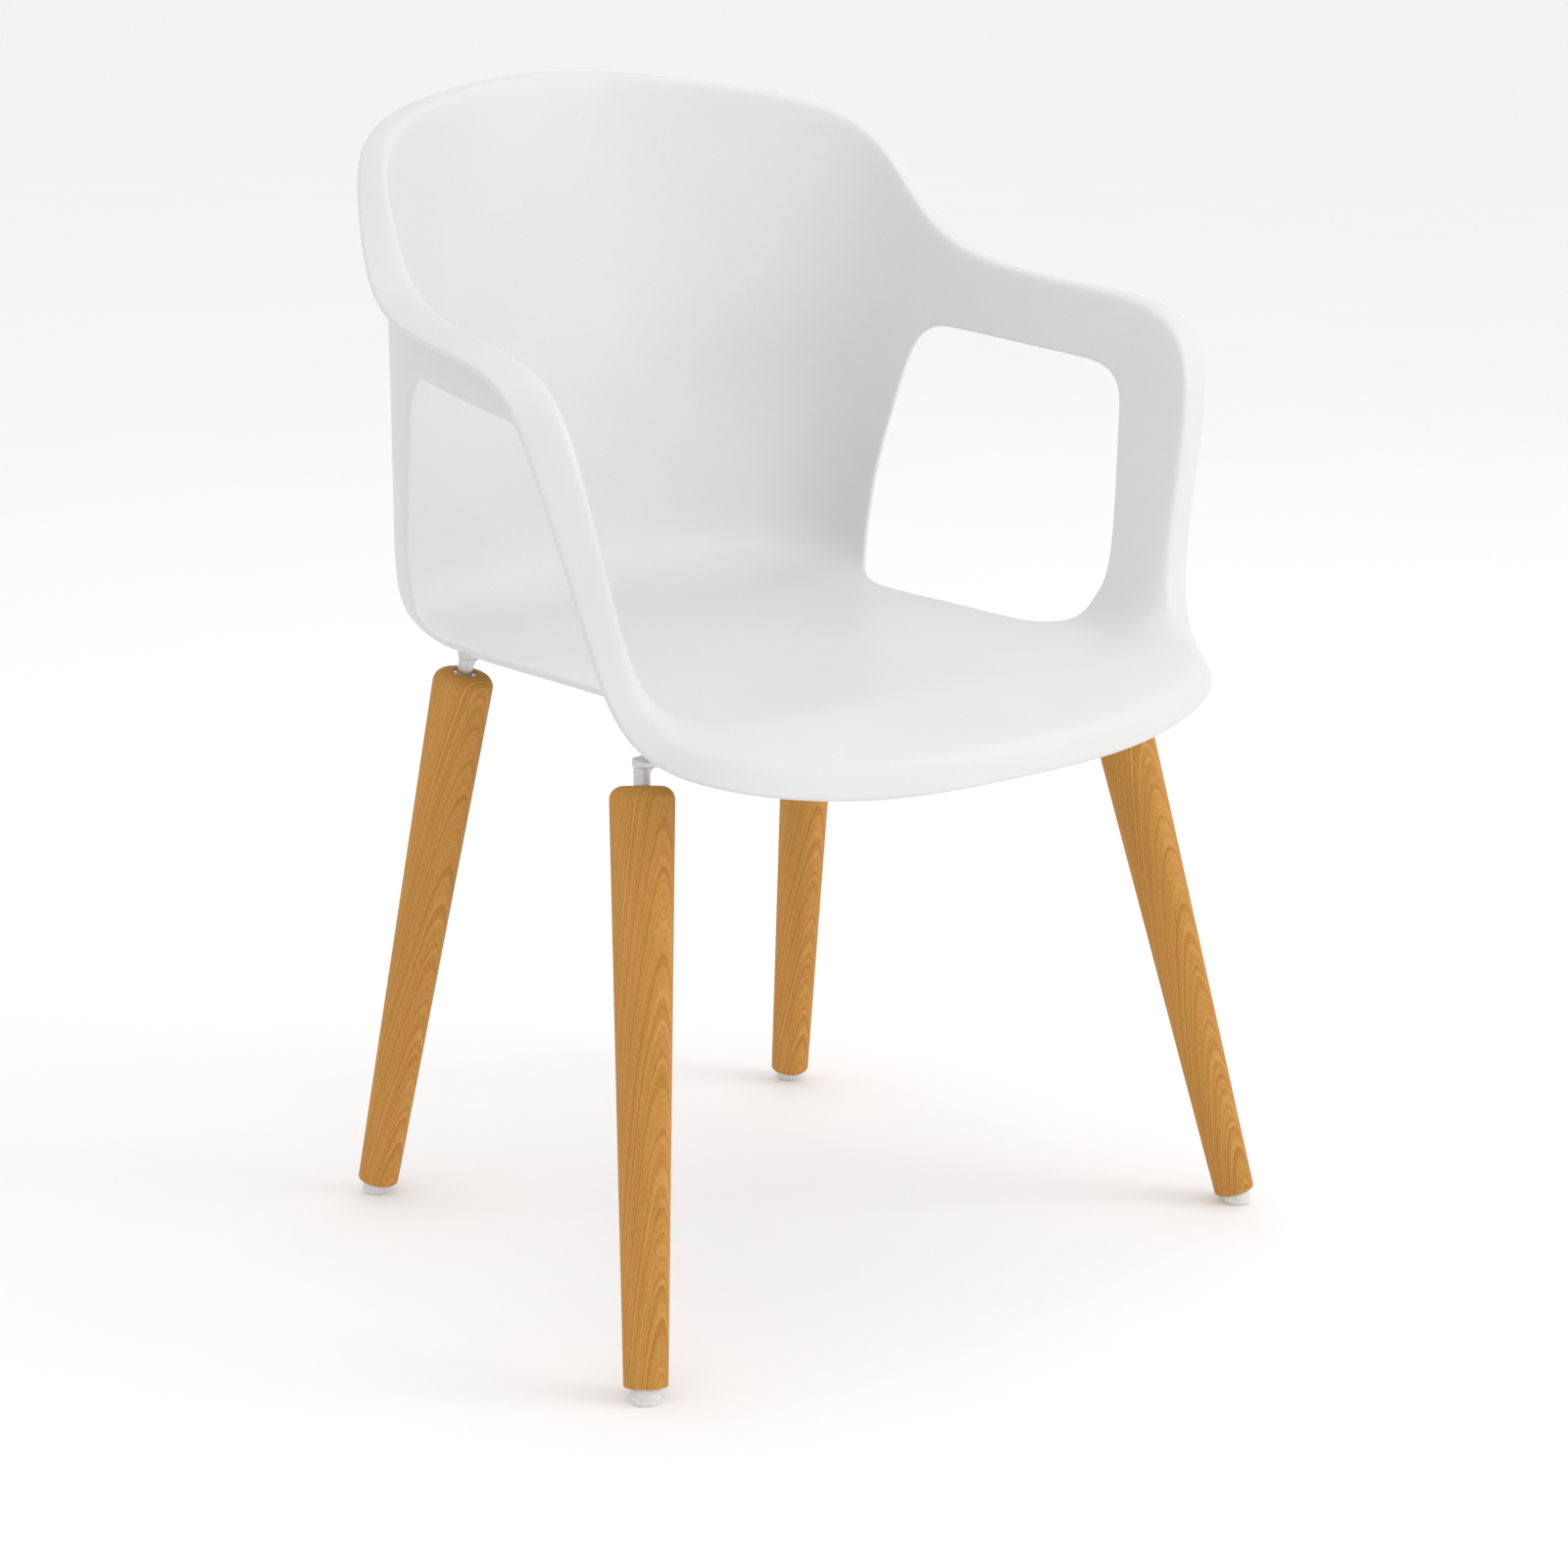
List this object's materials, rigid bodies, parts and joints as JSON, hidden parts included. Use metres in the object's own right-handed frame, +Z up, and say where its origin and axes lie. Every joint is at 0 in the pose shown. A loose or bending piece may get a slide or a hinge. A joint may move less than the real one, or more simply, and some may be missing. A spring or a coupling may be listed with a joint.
{
  "type": "dining armchair",
  "caption": "Dining armchair: a moulded plastic seat shell with open arms on turned wooden legs, joined by flat steel crossbars under the seat.",
  "frame": {"origin": "on the floor, under the middle of the chair's overall width and depth", "axes": "+Z up, the sitter faces -Y, +X to the right when the chair is seen from the front, x = 0 is the plane of symmetry"},
  "size_m": [0.6182, 0.5011, 0.8],
  "materials": {
    "shell_plastic": "moulded plastic with a fine satin grain",
    "frame_steel": "light grey powder coat, satin",
    "leg_wood": "turned beech under a clear satin lacquer",
    "zinc_steel": "bright zinc plate",
    "glide_plastic": "moulded nylon, dull",
    "screw_steel": "black oxide",
    "insert_brass": "turned brass"
  },
  "bodies": {
    "root": {"seat_shell": "shell_plastic", "front_crossbar": "frame_steel", "rear_crossbar": "frame_steel", "leg_front_right": "leg_wood", "sleeve_front_right": "zinc_steel", "glide_front_right": "glide_plastic", "leg_front_left": "leg_wood", "sleeve_front_left": "zinc_steel", "glide_front_left": "glide_plastic", "leg_rear_right": "leg_wood", "sleeve_rear_right": "zinc_steel", "glide_rear_right": "glide_plastic", "leg_rear_left": "leg_wood", "sleeve_rear_left": "zinc_steel", "glide_rear_left": "glide_plastic", "lock_screws": "screw_steel", "glide_screws": "zinc_steel", "frame_screws": "screw_steel", "frame_washers": "zinc_steel", "spring_washers": "screw_steel", "seat_inserts": "insert_brass"}
  },
  "joints": []
}
